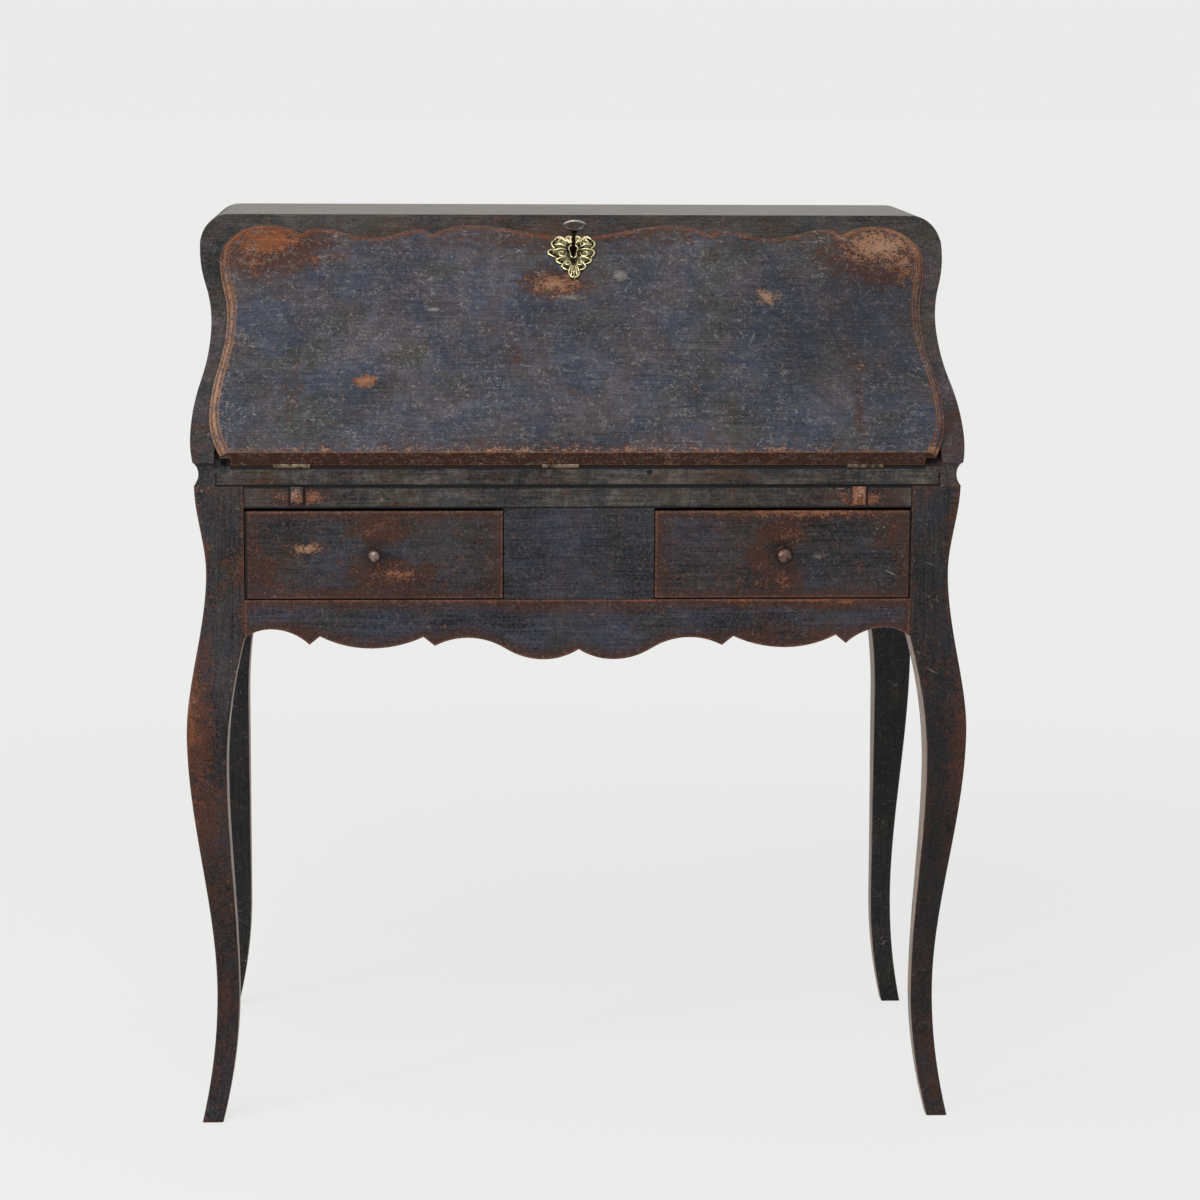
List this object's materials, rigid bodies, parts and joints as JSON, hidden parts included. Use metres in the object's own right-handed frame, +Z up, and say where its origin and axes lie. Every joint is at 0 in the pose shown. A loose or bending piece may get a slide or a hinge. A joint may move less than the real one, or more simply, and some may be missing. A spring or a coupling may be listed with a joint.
{
  "type": "slant-front writing desk",
  "caption": "Slant-front writing desk on cabriole legs: hinged fall with a scalloped moulded lip, drawers in a scalloped frieze, pull-out supports, lock and key.",
  "frame": {"origin": "on the floor under the middle of the desk's overall box", "axes": "+X to the right seen from the front, +Y to the back, +Z up"},
  "size_m": [0.83, 0.4958, 0.965],
  "materials": {
    "worn_paint": "blue-black milk paint rubbed through to red-brown wood, satin",
    "bare_wood": "unpainted aged softwood, matt",
    "cast_brass": "cast, polished on the high parts",
    "hinge_metal": "dull, tarnished",
    "iron": "dark forged, satin"
  },
  "bodies": {
    "carcase": {"front_leg_left": "worn_paint", "front_leg_right": "worn_paint", "rear_leg_left": "worn_paint", "rear_leg_right": "worn_paint", "front_apron": "worn_paint", "front_rail": "worn_paint", "centre_panel": "worn_paint", "side_panel_left": "worn_paint", "side_panel_right": "worn_paint", "lower_back": "bare_wood", "drawer_runners_left": "bare_wood", "drawer_runners_right": "bare_wood", "loper_guide_left": "bare_wood", "loper_guide_right": "bare_wood", "writing_bed": "worn_paint", "upper_side_left": "worn_paint", "upper_side_right": "worn_paint", "top_board": "worn_paint", "lock_rail": "bare_wood", "upper_back": "bare_wood", "hinge_bed_leaves": "hinge_metal", "hinge_pins": "iron", "hinge_bed_screws": "iron", "strike_plate": "iron", "inside_shelf": "bare_wood", "inside_partition_left": "bare_wood", "inside_partition_right": "bare_wood"},
    "fall": {"fall_board": "worn_paint", "hinge_fall_leaves": "hinge_metal", "hinge_fall_screws": "iron", "lock_case": "iron", "lock_screws": "iron", "escutcheon": "cast_brass", "escutcheon_pins": "cast_brass"},
    "lock_bolt": {"lock_bolt": "iron"},
    "key": {"key": "iron"},
    "drawer_left": {"drawer_left_front": "worn_paint", "drawer_left_side_inner": "bare_wood", "drawer_left_side_outer": "bare_wood", "drawer_left_back": "bare_wood", "drawer_left_bottom": "bare_wood", "drawer_left_knob": "iron"},
    "drawer_right": {"drawer_right_front": "worn_paint", "drawer_right_side_inner": "bare_wood", "drawer_right_side_outer": "bare_wood", "drawer_right_back": "bare_wood", "drawer_right_bottom": "bare_wood", "drawer_right_knob": "iron"},
    "loper_left": {"loper_left": "bare_wood", "loper_pull_left": "iron", "loper_stop_left": "bare_wood"},
    "loper_right": {"loper_right": "bare_wood", "loper_pull_right": "iron", "loper_stop_right": "bare_wood"},
    "inside_drawer": {"inside_drawer_front": "bare_wood", "inside_drawer_side_left": "bare_wood", "inside_drawer_side_right": "bare_wood", "inside_drawer_back": "bare_wood", "inside_drawer_bottom": "bare_wood", "inside_drawer_knob": "cast_brass"}
  },
  "joints": [
    {"name": "fall_hinge", "type": "hinge", "parent": "carcase", "child": "fall", "pos_m": [0, -0.22309, 0.715], "axis": [1, 0, 0], "range_deg": [0, 135]},
    {"name": "key_turn", "type": "hinge", "parent": "fall", "child": "key", "pos_m": [0, -0.03889, 0.92961], "axis": [0, -0.7071, 0.7071], "range_deg": [0, 180]},
    {"name": "bolt_slide", "type": "slide", "parent": "fall", "child": "lock_bolt", "axis": [0, 0.7071, 0.7071], "range_m": [0, 0.008]},
    {"name": "drawer_left_slide", "type": "slide", "parent": "carcase", "child": "drawer_left", "axis": [0, -1, 0], "range_m": [0, 0.28]},
    {"name": "drawer_right_slide", "type": "slide", "parent": "carcase", "child": "drawer_right", "axis": [0, -1, 0], "range_m": [0, 0.28]},
    {"name": "loper_left_slide", "type": "slide", "parent": "carcase", "child": "loper_left", "axis": [0, -1, 0], "range_m": [0, 0.24]},
    {"name": "loper_right_slide", "type": "slide", "parent": "carcase", "child": "loper_right", "axis": [0, -1, 0], "range_m": [0, 0.24]},
    {"name": "inside_drawer_slide", "type": "slide", "parent": "carcase", "child": "inside_drawer", "axis": [0, -1, 0], "range_m": [0, 0.11]}
  ],
  "couplings": [
    {"joint": "bolt_slide", "follows": "key_turn", "m_per_rad": 0.0025464}
  ]
}
